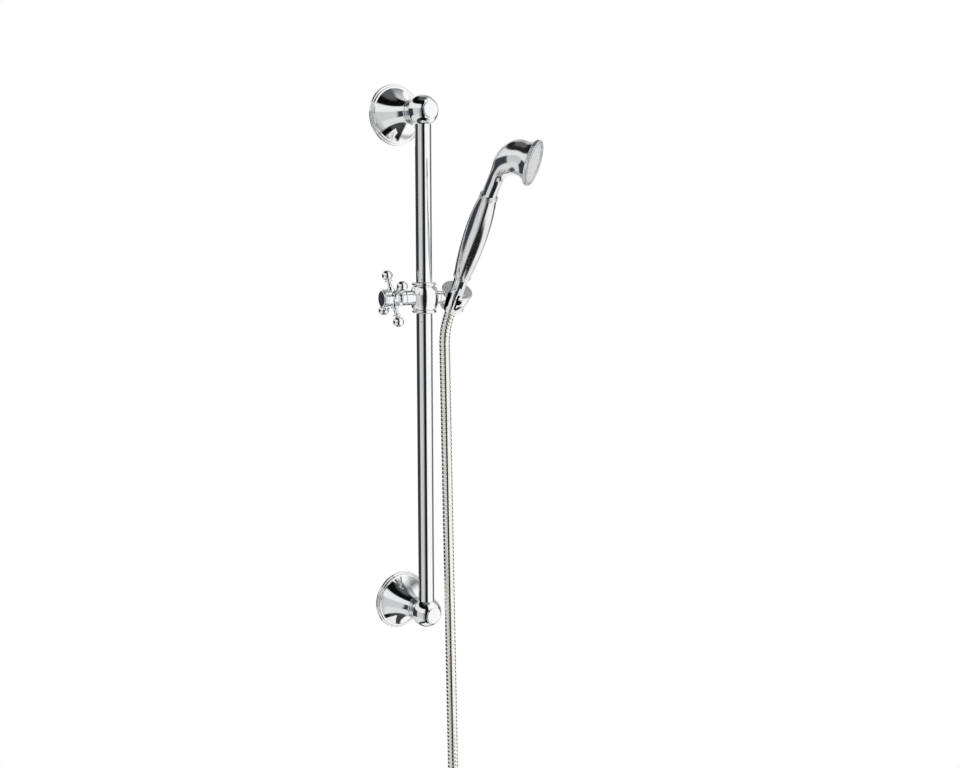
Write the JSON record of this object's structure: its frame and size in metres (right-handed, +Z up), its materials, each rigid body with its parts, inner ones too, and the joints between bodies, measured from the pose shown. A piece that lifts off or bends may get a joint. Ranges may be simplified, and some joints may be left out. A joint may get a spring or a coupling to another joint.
{
  "type": "shower slide rail",
  "caption": "Round chromed rail on two bell roses with ball ends; a cross-handle clamp holds a slider with a tilting cup, a handset and its ribbed hose.",
  "frame": {"origin": "on the wall, midway between the two fixing screws", "axes": "+Z up along the rail, +Y into the wall, +X towards the handset's side"},
  "size_m": [0.1541, 0.2285, 1.0742],
  "materials": {
    "chromed_brass": "polished plate",
    "chromed_hose": "chromed strip over a rubber core",
    "steel": "turned",
    "grey_plastic": "moulded",
    "white_nylon": "moulded",
    "black_nylon": "moulded",
    "black_rubber": "moulded"
  },
  "bodies": {
    "rail": {"rail_tube": "chromed_brass", "upper_bracket": "chromed_brass", "upper_rose": "chromed_brass", "upper_neck_ring": "chromed_brass", "upper_screw_cap": "chromed_brass", "lower_bracket": "chromed_brass", "lower_rose": "chromed_brass", "lower_neck_ring": "chromed_brass", "lower_screw_cap": "chromed_brass"},
    "bush": {"slider_bush": "white_nylon"},
    "slider": {"slider_body": "chromed_brass", "slider_upper_ring": "chromed_brass", "slider_lower_ring": "chromed_brass", "clamp_collar": "chromed_brass", "holder_set_screw": "steel", "hose_tube": "chromed_hose", "hose_coil": "chromed_hose", "hose_tail": "chromed_hose", "hose_tie": "black_nylon", "hose_far_ferrule": "chromed_brass", "hose_far_nut": "chromed_brass", "hose_far_washer": "black_rubber"},
    "clamp_shoe": {"clamp_shoe": "white_nylon"},
    "clamp_handle": {"clamp_spindle": "steel", "handle_skirt": "chromed_brass", "cross_handle": "chromed_brass", "handle_screw": "steel", "handle_index_cap": "chromed_brass"},
    "holder": {"holder_cup": "chromed_brass", "holder_washer": "white_nylon", "hose_cone_nut": "chromed_brass", "hose_washer": "black_rubber", "handset_base": "chromed_brass", "handset_lower_ring": "chromed_brass", "handset_handle": "chromed_brass", "handset_upper_ring": "chromed_brass", "handset_head": "chromed_brass", "spray_rim": "chromed_brass", "spray_plate": "grey_plastic", "hose_neck": "chromed_hose"}
  },
  "joints": [
    {"name": "slider_travel", "type": "slide", "parent": "rail", "child": "bush", "axis": [0, 0, 1], "range_m": [-0.36, 0.185]},
    {"name": "slider_swivel", "type": "hinge", "parent": "bush", "child": "slider", "pos_m": [0, -0.062, 0.0884], "axis": [0, 0, 1], "range_deg": [-20, 20]},
    {"name": "clamp_advance", "type": "slide", "parent": "slider", "child": "clamp_shoe", "axis": [-0.9903, 0.1392, 0], "range_m": [0, 0.0013]},
    {"name": "handle_turn", "type": "hinge", "parent": "clamp_shoe", "child": "clamp_handle", "pos_m": [-0.0411, -0.05622, 0.0884], "axis": [-0.9903, 0.1392, 0], "range_deg": [0, 360]},
    {"name": "holder_tilt", "type": "hinge", "parent": "slider", "child": "holder", "pos_m": [0.04199, -0.0679, 0.0884], "axis": [0.9903, -0.1392, 0], "range_deg": [-30, 25], "deforming": ["hose_neck"]}
  ],
  "couplings": [
    {"joint": "clamp_advance", "follows": "handle_turn", "m_per_rad": 0.00019894}
  ]
}
